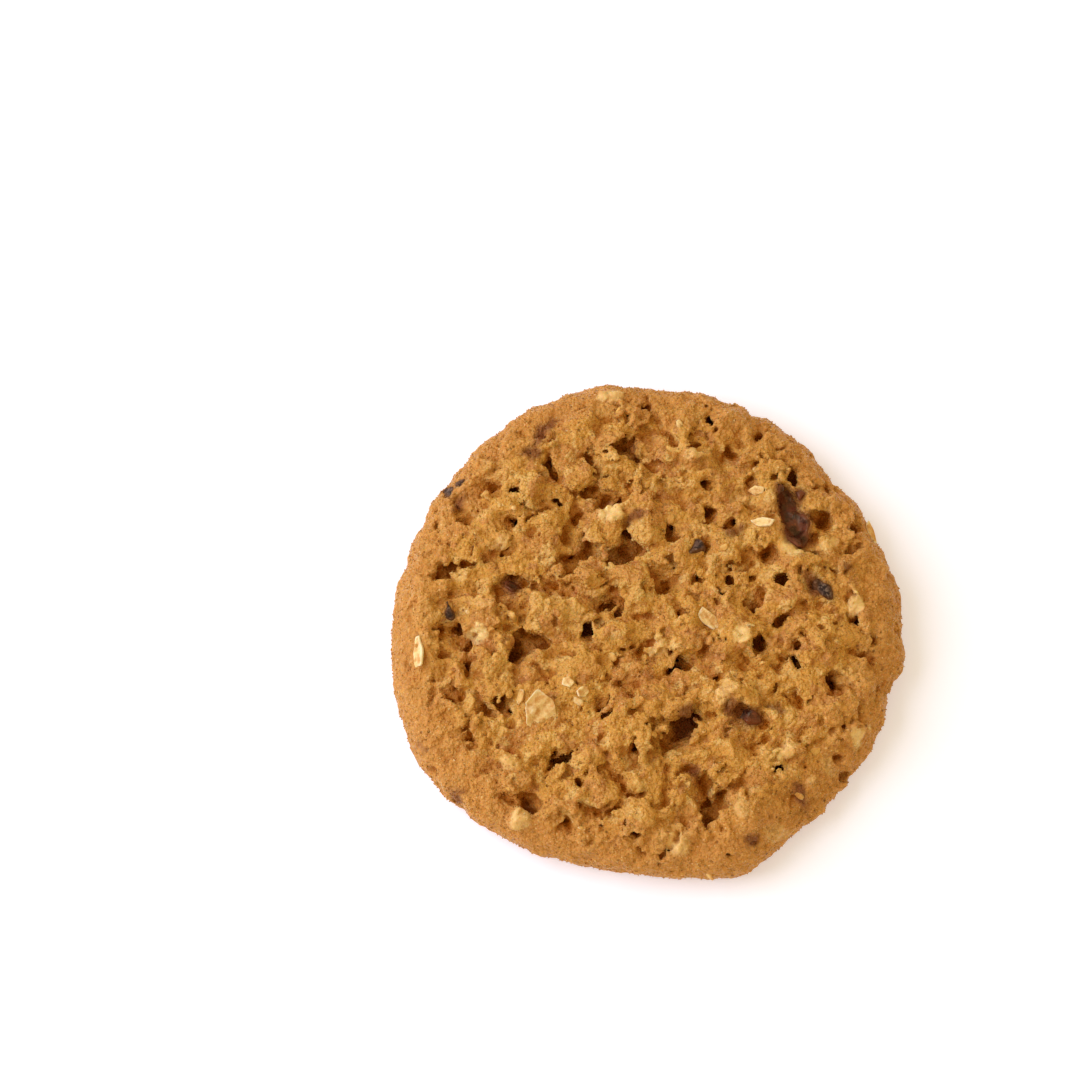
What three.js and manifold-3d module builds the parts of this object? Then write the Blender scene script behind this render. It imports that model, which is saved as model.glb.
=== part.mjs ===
// A round oat biscuit with toffee pieces, baked in one piece: a low round of rough dough with a
// smooth rim, open pits in its crown, and oat flakes, toffee and fruit bits baked into it.
// Millimetres, +Z up, with the origin at the middle of the flat underside.
import * as THREE from "three";
import { ImprovedNoise } from "three/addons/math/ImprovedNoise.js";
import { mergeVertices } from "three/addons/utils/BufferGeometryUtils.js";
import Module from "manifold-3d";

const wasm = await Module();
wasm.setup();

// Driving dimensions of the dough
const RADIUS = 33.3; // mean radius of the outline
const OUTLINE_MIDDLE = [0.1, -0.5]; // sets the uneven outline evenly about the origin
const CROWN_HEIGHT = 9.4; // top of the dough at the middle
const SHOULDER_HEIGHT = 8.5; // top of the dough where the rim starts to turn down
const SHOULDER_WIDTH = 6.5; // how far the rounded rim reaches inwards
const WIDEST_HEIGHT = 2.8; // level of the widest line round the wall
const FOOT_INSET = 1.5; // how far the wall draws in from there to the underside
const RINGS = 32; // rings of facets from the middle of the top to the foot

// Where the outline swells or dips: angle in degrees, rise and spread in degrees
const OUTLINE_SWELLS = [
  [210, 1.8, 30],
  [-70, 1.9, 8],
  [0, 0.7, 18],
  [-14, -1.0, 4],
  [-105, -0.7, 14],
  [22, -0.7, 7],
  [40, -0.9, 6],
  [88, -1.2, 6],
  [103, 1.6, 32],
];

// A stretch of the wall that slopes instead of standing upright
const SLOPE_ANGLE = -48; // middle of the stretch, in degrees
const SLOPE_SPREAD = 26; // half its length, in degrees
const SLOPE_INSET = 2.4; // how far its top edge lies inside the others

// Relief of the dough
const LUMP_SIZE = 6.5; // spacing of the rounded lumps
const LUMP_RISE = 1.4; // their height over the creases between them
const CRAG_SIZE = 3.4; // spacing of the smaller crags on them
const CRAG_RISE = 0.8;
const ROUGH_RADIUS = 22; // inside this the crown is at its roughest
const SMOOTH_RADIUS = 30; // outside this the rim is at its smoothest
const RIM_ROUGHNESS = 0.3; // share of the relief left on the rim
const NOISE_SHIFT = 41.3; // moves the relief's pattern to another place

// Broad mounds, and dips with a negative rise: x, y, length, width, turn in degrees and rise
const MOUNDS = [
  [-13.0, 1.6, 6.5, 5.5, 80, 1.5],
  [-8.0, 6.0, 5.0, 3.5, -40, 0.8],
  [-22.6, 1.4, 4.0, 3.0, 0, 0.9],
  [-9.0, -5.6, 6.0, 4.0, 0, 0.7],
  [-1.0, -11.0, 7.0, 4.0, 10, 0.7],
  [8.5, -17.5, 6.0, 5.0, 30, 0.9],
  [12.5, -1.5, 6.0, 4.0, -45, 0.7],
  [23.0, -2.0, 5.0, 3.5, -60, 0.8],
  [21.5, -12.0, 6.0, 4.0, 0, 0.6],
  [13.5, -25.0, 6.0, 4.0, 60, 0.8],
  [14.0, 13.5, 6.0, 4.0, 20, 0.8],
  [4.0, 22.0, 6.0, 3.5, 10, 0.7],
  [-28.5, -4.0, 8.0, 3.0, -70, 0.8],
  [-17.0, 0.5, 8.0, 3.0, 75, -1.1],
  [-24.8, -3.5, 8.0, 3.0, -60, -1.1],
  [-4.0, 0.4, 8.0, 2.5, 20, -1.0],
  [-19.5, -13.0, 6.0, 3.0, 80, -0.9],
  [-18.5, -18.4, 7.0, 2.5, -5, -0.9],
  [-4.0, 20.5, 7.0, 4.0, 60, -0.9],
  [6.0, -7.0, 7.0, 3.0, 0, -0.9],
  [19.8, -5.0, 7.0, 2.5, 85, -0.8],
  [12.5, 18.0, 5.0, 2.5, 20, -0.7],
];

// Open pits: x, y, length, width, turn in degrees and depth
const PITS = [
  [-3.2, 7.8, 3.8, 1.9, -60, 2.6],
  [-17.8, 4.8, 4.6, 2.6, -18, 2.2],
  [4.4, -15.0, 5.4, 3.4, 45, 3.4],
  [7.4, -24.4, 8.0, 4.4, 95, 3.2],
  [24.2, -8.6, 3.6, 2.4, -40, 2.6],
  [5.2, -7.0, 4.2, 2.0, 0, 2.0],
  [12.8, -9.0, 2.8, 1.7, 0, 1.5],
  [19.7, -5.4, 5.4, 1.5, 85, 1.7],
  [-11.0, -18.9, 4.4, 2.2, 28, 2.6],
  [-11.4, -28.4, 2.7, 2.0, 40, 2.0],
  [-8.1, -1.8, 2.3, 1.9, 70, 2.4],
  [6.9, 3.5, 1.9, 1.7, 0, 2.2],
  [21.9, 8.2, 2.0, 1.7, 20, 2.2],
  [8.5, 27.2, 2.8, 1.6, -60, 1.9],
  [7.9, 18.7, 2.6, 1.8, 50, 2.2],
  [0.8, -24.2, 2.0, 1.7, 0, 2.2],
  [-12.4, 21.0, 3.4, 1.4, 35, 1.7],
  [-15.4, -3.4, 3.6, 1.7, 15, 1.9],
  [17.4, -0.1, 3.0, 1.4, 5, 1.9],
  [-3.2, 23.4, 3.8, 2.6, 60, 1.3],
  [28.2, 12.2, 3.2, 2.2, 75, 1.5],
  [26.2, 9.2, 3.1, 1.8, -65, 1.5],
  [-23.6, -3.3, 3.4, 3.2, 0, 1.6],
  [-9.3, -8.7, 2.6, 1.8, 70, 1.6],
  [-1.8, -18.0, 2.4, 1.6, 70, 1.8],
  [17.2, -20.4, 3.2, 1.2, -15, 1.6],
  [19.2, 14.0, 9.2, 3.4, -74, 1.7],
  [12.8, -13.4, 5.6, 3.0, -12, 1.3],
];
const PIT_DETAIL = 1; // facets of a pit, as subdivisions of an icosahedron

// Toffee and fruit bits: x, y, length, width and turn in degrees
const SOFT_BITS = [
  [19.2, 14.0, 8.6, 3.0, -74],
  [12.8, -13.4, 5.0, 2.4, -12],
  [4.9, -14.2, 3.0, 2.0, 45],
  [-17.6, 4.4, 3.6, 1.7, -20],
  [-13.6, 25.6, 4.4, 1.9, 60],
  [-25.2, 15.6, 3.2, 1.7, 60],
  [19.6, -23.8, 3.8, 1.9, -70],
  [23.2, 3.1, 3.5, 2.3, -55],
  [-26.3, 1.4, 3.2, 1.9, -70],
];
const BIT_RISE = 0.9; // half the thickness of a soft bit, most of it sunk in the dough
const BIT_DETAIL = 1;

// Oat flakes that show: x, y, length, width and turn in degrees
const FLAKES = [
  [-14.3, -13.0, 6.1, 4.8, 70],
  [-4.7, 14.4, 4.0, 2.7, -60],
  [-22.2, -1.8, 3.4, 2.3, -60],
  [-30.0, -5.2, 4.0, 1.5, -75],
  [-16.7, -26.8, 2.7, 2.2, 60],
  [7.8, -0.6, 4.0, 1.9, -45],
  [15.4, 12.4, 3.4, 1.4, -10],
  [14.7, 17.4, 2.3, 1.2, 0],
  [18.7, 9.0, 2.5, 2.1, 20],
  [27.4, 1.2, 3.5, 2.1, 70],
  [3.8, -30.4, 2.7, 2.3, 0],
  [9.8, -9.7, 2.7, 1.8, 80],
  [-9.9, -9.8, 3.0, 1.6, -35],
  [27.2, -15.9, 3.2, 1.5, 70],
  [23.4, -20.2, 2.7, 2.1, 20],
  [12.3, -3.4, 2.4, 1.9, 0],
  [11.9, -25.8, 2.7, 2.0, 90],
  [-5.0, 31.2, 3.2, 1.3, 0],
];
const FLAKE_THICKNESS = 0.7;
const FLAKE_SIDES = 9;
const FLAKE_CURL = 0.35; // how far the ends of a flake lift over its middle
const FLAKE_SINK = 0.05; // how far the middle of a flake lies below the dough's surface

const CRUST = new THREE.MeshStandardMaterial({ color: 0xb57a36, roughness: 0.8, metalness: 0 });

const UP = new THREE.Vector3(0, 0, 1);
const DOWN = new THREE.Vector3(0, 0, -1);
const SLOPE_REACH = 1.6; // distance over which the slope under a feature is measured
const { degToRad, smoothstep } = THREE.MathUtils;
const noise = new ImprovedNoise();

// A smooth bump of height 1 at the middle angle, falling off over the spread, all in degrees
function angularBump(angle, middle, spread) {
  const away = THREE.MathUtils.euclideanModulo(angle - middle + 180, 360) - 180;
  return Math.exp(-((away / spread) ** 2));
}

function outlineRadius(angle) {
  let radius = RADIUS;
  for (const [middle, rise, spread] of OUTLINE_SWELLS) {
    radius += rise * angularBump(angle, middle, spread);
  }
  return radius;
}

// Half of the cross-section, from the middle of the top over the rim to the foot
function crossSection() {
  const shoulder = RADIUS - SHOULDER_WIDTH;
  const path = new THREE.Path();
  path.moveTo(0, CROWN_HEIGHT);
  path.quadraticCurveTo(shoulder / 2, CROWN_HEIGHT, shoulder, SHOULDER_HEIGHT);
  path.absellipse(
    shoulder, WIDEST_HEIGHT, SHOULDER_WIDTH, SHOULDER_HEIGHT - WIDEST_HEIGHT, Math.PI / 2, 0, true,
  );
  path.quadraticCurveTo(RADIUS, WIDEST_HEIGHT / 2, RADIUS - FOOT_INSET, 0);
  return path.getSpacedPoints(RINGS);
}

// Height of the broad mounds and dips at a point
function moundHeight(x, y) {
  let height = 0;
  for (const [middleX, middleY, length, width, turn, rise] of MOUNDS) {
    const away = new THREE.Vector2(x - middleX, y - middleY);
    away.rotateAround(new THREE.Vector2(), -degToRad(turn));
    height += rise * Math.exp(-((2 * away.x / length) ** 2) - (2 * away.y / width) ** 2);
  }
  return height;
}

// Height of the relief at a point: the mounds, rounded lumps with creases between them, and crags
function relief(x, y, z) {
  const at = (size) => noise.noise(x / size + NOISE_SHIFT, y / size, z / size);
  const lumps = LUMP_RISE * (2 * Math.abs(at(LUMP_SIZE)) - 0.5);
  const crags = CRAG_RISE * at(CRAG_SIZE);
  const smoothness = smoothstep(Math.hypot(x, y), ROUGH_RADIUS, SMOOTH_RADIUS);
  const share = THREE.MathUtils.lerp(1, RIM_ROUGHNESS, smoothness);
  return moundHeight(x, y) + (lumps + crags) * share;
}

// A point of the dough's surface on one ring, at an angle in degrees
function doughPoint(section, ring, angle) {
  const here = section[ring];
  const before = section[Math.max(ring - 1, 0)];
  const after = section[Math.min(ring + 1, RINGS)];
  const along = new THREE.Vector2().subVectors(after, before).normalize();
  const slope = SLOPE_INSET * angularBump(angle, SLOPE_ANGLE, SLOPE_SPREAD);
  const raised = smoothstep(here.y, WIDEST_HEIGHT, SHOULDER_HEIGHT);
  const reach = (here.x / RADIUS) * (outlineRadius(angle) - slope * raised);
  const cos = Math.cos(degToRad(angle));
  const sin = Math.sin(degToRad(angle));
  const clearOfFoot = smoothstep(here.y, 0, WIDEST_HEIGHT);
  const rise = relief(reach * cos, reach * sin, here.y) * clearOfFoot;
  const radius = reach - along.y * rise;
  return [
    radius * cos + OUTLINE_MIDDLE[0],
    radius * sin + OUTLINE_MIDDLE[1],
    here.y + along.x * rise,
  ];
}

// The dough as rings of facets, six more on each ring outwards, closed by a flat underside
function doughGeometry() {
  const section = crossSection();
  const positions = [doughPoint(section, 0, 0)];
  const firstOfRing = [0];
  for (let ring = 1; ring <= RINGS; ring += 1) {
    firstOfRing.push(positions.length);
    for (let step = 0; step < 6 * ring; step += 1) {
      positions.push(doughPoint(section, ring, (60 * step) / ring));
    }
  }
  const vertex = (ring, step) => firstOfRing[ring] + (ring > 0 ? step % (6 * ring) : 0);
  const faces = [];
  for (let ring = 1; ring <= RINGS; ring += 1) {
    for (let sector = 0; sector < 6; sector += 1) {
      for (let step = 0; step < ring; step += 1) {
        const outer = sector * ring + step;
        const inner = sector * (ring - 1) + step;
        faces.push(vertex(ring - 1, inner), vertex(ring, outer), vertex(ring, outer + 1));
        if (step < ring - 1) {
          faces.push(vertex(ring - 1, inner), vertex(ring, outer + 1), vertex(ring - 1, inner + 1));
        }
      }
    }
  }
  const underside = positions.length;
  positions.push([...OUTLINE_MIDDLE, 0]);
  for (let step = 0; step < 6 * RINGS; step += 1) {
    faces.push(underside, vertex(RINGS, step + 1), vertex(RINGS, step));
  }
  const geometry = new THREE.BufferGeometry();
  geometry.setAttribute("position", new THREE.Float32BufferAttribute(positions.flat(), 3));
  geometry.setIndex(faces);
  return geometry;
}

function solidFrom(geometry) {
  const plain = geometry.clone();
  plain.deleteAttribute("normal");
  plain.deleteAttribute("uv");
  const merged = mergeVertices(plain);
  return new wasm.Manifold(
    new wasm.Mesh({
      numProp: 3,
      vertProperties: new Float32Array(merged.attributes.position.array),
      triVerts: new Uint32Array(merged.index.array),
    }),
  );
}

function geometryFrom(solid) {
  const mesh = solid.getMesh();
  const geometry = new THREE.BufferGeometry();
  geometry.setAttribute("position", new THREE.BufferAttribute(mesh.vertProperties, 3));
  geometry.setIndex(new THREE.BufferAttribute(mesh.triVerts, 1));
  geometry.computeVertexNormals();
  return geometry;
}

// Height of a solid's top surface over a point, or of its widest line where the point is outside
function surfaceHeight(geometry, x, y) {
  const above = new THREE.Vector3(x, y, 2 * CROWN_HEIGHT);
  const hits = new THREE.Raycaster(above, DOWN).intersectObject(new THREE.Mesh(geometry));
  return hits.length > 0 ? hits[0].point.z : WIDEST_HEIGHT;
}

// Turns a feature about its middle, tilts it to the surface under it and moves it there
function layOn(surface, feature, x, y, turn, sink) {
  const height = (dx, dy) => surfaceHeight(surface, x + dx, y + dy);
  const slopeX = (height(SLOPE_REACH, 0) - height(-SLOPE_REACH, 0)) / (2 * SLOPE_REACH);
  const slopeY = (height(0, SLOPE_REACH) - height(0, -SLOPE_REACH)) / (2 * SLOPE_REACH);
  const normal = new THREE.Vector3(-slopeX, -slopeY, 1).normalize();
  const tilt = new THREE.Quaternion().setFromUnitVectors(UP, normal);
  const yaw = new THREE.Quaternion().setFromAxisAngle(UP, degToRad(turn));
  feature.applyQuaternion(tilt.multiply(yaw));
  feature.translate(x, y, height(0, 0) - sink);
  return solidFrom(feature);
}

function pit(surface, [x, y, length, width, turn, depth]) {
  const hollow = new THREE.IcosahedronGeometry(1, PIT_DETAIL);
  hollow.scale(length / 2, width / 2, depth);
  return layOn(surface, hollow, x, y, turn, 0);
}

function softBit(surface, [x, y, length, width, turn]) {
  const lump = new THREE.IcosahedronGeometry(1, BIT_DETAIL);
  lump.scale(length / 2, width / 2, BIT_RISE);
  return layOn(surface, lump, x, y, turn, BIT_RISE / 2);
}

function oatFlake(surface, [x, y, length, width, turn]) {
  const plate = new THREE.CylinderGeometry(0.5, 0.5, FLAKE_THICKNESS, FLAKE_SIDES);
  plate.rotateX(Math.PI / 2);
  const corners = plate.attributes.position;
  for (let corner = 0; corner < corners.count; corner += 1) {
    const lift = FLAKE_CURL * (2 * corners.getX(corner)) ** 2;
    corners.setZ(corner, corners.getZ(corner) + lift);
  }
  plate.scale(length, width, 1);
  return layOn(surface, plate, x, y, turn, FLAKE_SINK);
}

// The largest of the bodies of a solid, so that no loose scrap stays
function largestBody(solid) {
  const bodies = solid.decompose();
  return bodies.reduce((best, body) => (body.volume() > best.volume() ? body : best));
}

function biscuitGeometry() {
  const dough = doughGeometry();
  let solid = solidFrom(dough);
  for (const place of PITS) {
    solid = solid.subtract(pit(dough, place));
  }
  const pitted = geometryFrom(solid);
  for (const place of SOFT_BITS) {
    solid = solid.add(softBit(pitted, place));
  }
  for (const place of FLAKES) {
    solid = solid.add(oatFlake(pitted, place));
  }
  return geometryFrom(largestBody(solid));
}

const biscuit = new THREE.Mesh(biscuitGeometry(), CRUST);
biscuit.name = "biscuit";

const part = new THREE.Group();
part.add(biscuit);

export default part;
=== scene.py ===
"""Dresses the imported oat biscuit: craggy dough, oat flakes, toffee and fruit, on a pale floor."""

import itertools
import math

import bpy
import numpy as np
import openvdb
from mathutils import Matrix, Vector


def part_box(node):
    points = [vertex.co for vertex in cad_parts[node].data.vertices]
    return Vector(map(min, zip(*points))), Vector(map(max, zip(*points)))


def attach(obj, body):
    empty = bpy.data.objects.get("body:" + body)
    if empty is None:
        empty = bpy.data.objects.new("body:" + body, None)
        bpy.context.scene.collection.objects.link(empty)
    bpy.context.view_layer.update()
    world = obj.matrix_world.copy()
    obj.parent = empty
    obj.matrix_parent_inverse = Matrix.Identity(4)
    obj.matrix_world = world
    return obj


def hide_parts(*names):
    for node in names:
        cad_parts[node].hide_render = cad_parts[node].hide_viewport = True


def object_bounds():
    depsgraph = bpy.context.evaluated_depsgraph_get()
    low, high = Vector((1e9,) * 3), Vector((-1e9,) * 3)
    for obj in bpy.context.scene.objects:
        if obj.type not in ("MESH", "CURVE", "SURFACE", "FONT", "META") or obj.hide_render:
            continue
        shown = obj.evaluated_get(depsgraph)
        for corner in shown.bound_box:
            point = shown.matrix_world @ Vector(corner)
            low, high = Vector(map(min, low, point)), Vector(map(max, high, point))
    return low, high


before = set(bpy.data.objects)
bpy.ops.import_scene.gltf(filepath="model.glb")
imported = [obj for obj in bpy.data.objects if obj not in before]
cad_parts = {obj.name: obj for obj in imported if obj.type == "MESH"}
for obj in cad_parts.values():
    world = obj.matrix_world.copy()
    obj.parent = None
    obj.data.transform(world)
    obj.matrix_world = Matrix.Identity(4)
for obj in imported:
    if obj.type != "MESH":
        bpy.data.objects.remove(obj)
CAD_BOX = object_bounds()

MM = 0.001  # the frame is in metres, and the sizes below are in millimetres
SEED = 20

# The grid of small cubes on which the dough is shaped
VOXEL = 0.18
MARGIN = 2.0  # room round the solid
BAND = 12  # cubes on either side of the surface where the distance to it is known
PULL_REACH = BAND * VOXEL * 0.7  # only places this near to the surface are pulled about
FUSE_ROOM, CARVE_ROOM = 1.5, 1.0  # how far round an ellipsoid the field is changed
LOW, HIGH = (np.array(corner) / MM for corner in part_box("biscuit"))
FIRST = np.floor((LOW - MARGIN) / VOXEL).astype(int)
FIRST_CUBE = tuple(int(number) for number in FIRST)
SHAPE = tuple(np.ceil((HIGH + MARGIN) / VOXEL).astype(int) - FIRST)
LAST_PLACE = 1.001  # how far inside the end of a line of cubes the last place with a value is
LINES = [(FIRST[axis] + np.arange(SHAPE[axis])) * VOXEL for axis in range(3)]

# Relief of the dough: spacing and rise of each kind of bump
FACET_BLUR = 0.3  # rounds off the facets of the solid
BROAD_BLUR = 0.8  # leaves its broad form, which lumps and pores are set square to
EDGE_BLUR = 0.2  # rounds off the edges of valleys, pits and clumps
ROUGH_RADIUS = 28.5  # inside this the crown is at its roughest
SMOOTH_RADIUS = 34.0  # outside this the rim is at its smoothest
RIM_ROUGHNESS = 0.3  # share of the relief left there
RIM_GRAIN = 0.3  # share of the finest relief left where there is no other
LUMP_SPACING, LUMP_RISE = 2.9, 0.22
CRAG_SPACING, CRAG_RISE = 1.2, 0.08
CRUMB_SPACING, CRUMB_RISE = 0.65, 0.1
GRAIN_SPACING, GRAIN_RISE = 0.4, 0.04
WARP_SPACING, WARP_REACH = 1.5, 0.24
FINE_WARP_SPACING, FINE_WARP_REACH = 0.6, 0.1
DIMPLE_SPACING, DIMPLE_DEPTH = 2.4, 0.15  # shallow dimples in the flat underside
BILLOW_MEAN = 0.8  # about the mean size of random values with a spread of 1
FINE_UNEVENNESS = 0.5  # share of fine unevenness beside the coarse
FOOT_FADE = (0.2, 2.0)  # heights between which the relief of the wall comes in
LEAST_SHARE = 0.1  # clumps and granules are left out where less of the relief than this is left
UNDERSIDE_TILT = -0.5  # faces whose normals point further down than this are the underside
# Ragged valleys between the lumps of the crown: spacing, depth, and where they start, higher for fewer
CHASMS = [(3.0, 1.5, 1.2), (1.4, 0.7, 1.9)]
CHASM_RAGGEDNESS = 0.6
CHASM_UNEVENNESS = 0.25  # spread of their depth
CHASM_FADE = 2.5  # how much rarer they are on the rim
CHASM_PULL = 1.0  # how much a dip in the solid draws them to itself
DIP_REACH = 3.0
# Angular clumps of the crown: spacing, rise, tilt, depth of the cracks between them, share that has
# fallen out, and depth of the holes left by those
CLUMPS = [(2.8, 0.16, 0.08, 0.16, 0.04, 1.3), (1.3, 0.05, 0.08, 0.08, 0.04, 0.8)]
CLUMP_MARGIN = 3  # seeds beyond each end of the grid
CRACK_WIDTH = 0.3
CLUMP_REACH = 1.6  # how near to the surface they are worked out
FALL_PULL = 0.3  # how much more of them have fallen out where the solid dips
FALL_LIMIT = 0.75  # none have where less of the relief than this is left
FALL_SPREAD = (0.6, 1.3)  # limits of the depth of their holes, as shares of the usual one
# Rounded granules packed all over the crust: spacing, rise of their tops and spread of their heights
GRANULES = (0.85, 0.24, 0.05)
GRANULE_RADIUS = 0.75  # as a share of their spacing
GRANULE_LEVEL = 0.5  # share of their rise that stands out
GRANULE_REACH = 0.8  # how near to the surface they are worked out
# Lumps of dough fused to the crown: how many, least and greatest radius, least and greatest rise
LUMPS = [(170, 1.1, 2.3, 0.4, 0.95), (1500, 0.5, 1.1, 0.15, 0.5)]
LUMP_STRETCH = [(0.8, 1.5), (0.7, 1.1), (0.5, 0.8)]  # limits of length, width and height over the radius
LUMP_CLEARANCE = 0.4  # none lie where the solid dips by more than this
OPEN_DIPS = (0.3, 0.6)  # dips in the solid that they cover in part, and that they leave open
PORES = 420  # small holes with no place of their own
PORE_RADIUS = (0.2, 0.46)
PORE_NARROWING = (0.6, 1)
PORE_STRETCH = (1, 1.7)
PORE_DEPTH = (0.4, 1.2)
PORE_LEAN = 0.35
PORE_RAGGEDNESS = 0.1

# Small pits: x, y, length, width and turn in degrees
SMALL_PITS = [
    (-23.3, 9.2, 2.1, 0.9, 85), (-20.6, 8.3, 1.3, 1.0, 0), (-17.7, 13.4, 1.0, 0.8, 0),
    (-17.7, 17.8, 1.3, 1.0, 20), (-8.0, 14.7, 0.9, 0.6, 80), (-3.6, 16.3, 1.3, 1.0, 30),
    (-10.5, 7.1, 2.6, 0.9, 72), (-24.8, -1.5, 1.2, 0.9, 0), (-1.9, -0.9, 1.7, 0.9, 10),
    (-4.2, 0.0, 2.0, 0.9, 15), (-14.0, 14.9, 2.2, 1.5, 40), (-7.2, 16.9, 2.0, 1.0, 10),
    (17.1, 26.1, 1.5, 0.9, 10), (17.9, 23.5, 1.8, 1.0, 20), (3.5, 24.5, 1.2, 0.9, 0),
    (13.9, 18.6, 1.9, 0.8, 70), (19.6, 18.9, 1.4, 0.7, 80), (11.3, 12.8, 1.5, 0.9, 80),
    (8.0, 9.7, 1.2, 1.0, 0), (15.4, 8.5, 1.6, 1.1, 70), (17.0, 4.9, 1.5, 1.1, 55),
    (3.4, 4.2, 1.0, 0.7, 0), (3.1, 7.1, 1.6, 1.0, 75), (23.0, 13.3, 2.4, 1.1, -75),
    (-19.0, -11.5, 1.7, 0.8, 85), (-20.7, -18.0, 1.4, 1.0, 0), (-8.6, -22.4, 1.6, 0.9, 85),
    (-5.6, -22.8, 0.9, 0.8, 0), (-10.4, -18.7, 4.2, 1.9, 28), (-11.8, -25.5, 1.1, 0.9, 0),
    (-9.0, -25.5, 1.8, 1.2, 10), (-15.4, -25.4, 1.1, 0.9, 0), (-2.5, -28.8, 1.0, 0.9, 0),
    (-2.2, -30.8, 1.0, 0.9, 80), (9.7, -3.2, 1.1, 0.8, 0), (14.8, -4.5, 1.8, 1.2, 20),
    (29.4, -2.0, 1.1, 0.9, 0), (27.6, -5.4, 2.0, 0.8, -25), (2.1, -30.4, 1.4, 0.9, 0),
    (26.0, -20.2, 1.6, 0.8, 0), (4.7, -14.4, 4.2, 2.4, 55), (27.8, 12.8, 3.8, 2.0, -62),
    (24.6, 17.6, 1.6, 0.9, -45), (5.8, -21.2, 2.8, 1.6, -45), (21.5, 3.9, 2.2, 1.3, 10),
]
SMALL_PIT_DEPTH = 1.5
SMALL_PIT_SPREAD = (0.8, 1.2)  # limits of their depths, as shares of that
SMALL_PIT_REACH = 1.0  # radius of the ground that they are set square to
PIT_RAGGEDNESS = 0.42  # how uneven the walls of all pits are
RAGGED_DIPS = (0.1, 0.6)  # dips in the solid where that begins, and is whole

# Toffee that shows: x, y, length, width and turn in degrees
TOFFEE = [
    (19.2, 14.0, 9.2, 3.6, -74),
    (12.8, -13.4, 3.2, 1.6, -12),
    (-17.6, 4.4, 3.2, 1.6, -20),
]

# Dough that is stained by toffee under it: x, y, length, width and turn in degrees
STAINS = [
    (-13.6, 25.6, 5.2, 2.4, 60), (-15.4, 22.6, 3.0, 2.0, 0), (-25.2, 15.6, 3.6, 2.2, 60),
    (19.6, -23.8, 4.2, 2.2, -70), (-2.0, 13.3, 2.7, 1.1, 35), (26.4, 6.4, 1.6, 1.4, 0),
    (12.8, -29.6, 2.4, 1.8, 0), (-24.3, -23.2, 2.8, 1.9, 0), (11.2, 11.6, 2.4, 1.6, 20),
    (16.4, -12.6, 3.4, 1.8, -20), (4.9, -14.2, 4.4, 3.0, 50), (11.4, -13.2, 3.8, 2.2, -12),
    (5.9, -21.4, 2.6, 1.8, -45), (22.0, 3.7, 3.8, 2.8, -40),
]
STAIN_RING = (1.0, 0.0)  # distances from toffee where its stain begins, and is whole
STAIN_EDGE = (0.3, -0.8)  # the same for the outlines of the other stains
STAIN_SHARE = 0.8
FRUIT_STAIN_INSET = 0.4  # how much narrower the stain round fruit is than that round toffee

# Dark dried fruit that shows: x, y, length, width and turn in degrees
FRUIT = [
    (23.2, 3.1, 3.0, 1.9, -55), (-26.3, 1.4, 3.4, 2.0, -70), (-26.2, 17.9, 1.4, 0.7, 80),
    (-24.8, 19.2, 1.0, 0.7, 0), (6.4, 9.2, 1.3, 0.9, 70), (-29.5, -17.8, 1.0, 0.8, 0),
]
TOFFEE_RISE = 0.0  # how far toffee and fruit stand out of the solid
FRUIT_RISE = 0.08
SOFT_DEPTH = 1.2  # how far they reach into it
TOFFEE_RAGGEDNESS = 0.3  # how uneven their outlines are
FRUIT_RAGGEDNESS = 0.45
OAT_RAGGEDNESS = 0.4
SOFT_BUMPS = 0.16  # how uneven their tops are
SOFT_EDGE = 0.35  # radius of their edges
BROWN_EDGE = (-0.8, 0.0)  # distances from their outlines where they turn brown, and are brownest
SOFT_COVER = 0.3  # how far the dough laps over them
BED_DEPTH = 0.35  # how far the dough under them is cut away
CALM_REACH = 0.8  # the dough stays smooth this near to them

# Crisp oat flakes that lie on the dough: x, y, length, width, turn in degrees and paleness from 0 to 1
FLAKES = [
    (-14.3, -13.0, 6.4, 5.2, 70, 0.8), (-16.7, -11.0, 2.6, 1.1, 75, 0.4), (7.8, -0.6, 4.2, 2.0, -45, 0.8),
    (-30.0, -5.0, 5.4, 2.0, -75, 1.0), (-10.6, -9.3, 2.0, 1.6, -35, 1.0), (-8.8, -10.6, 2.0, 1.6, 20, 1.0),
    (29.9, 12.7, 4.0, 1.4, -62, 0.3), (15.4, 12.4, 3.7, 1.7, -10, 1.0), (14.7, 17.4, 2.6, 1.5, 0, 1.0),
]

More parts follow.
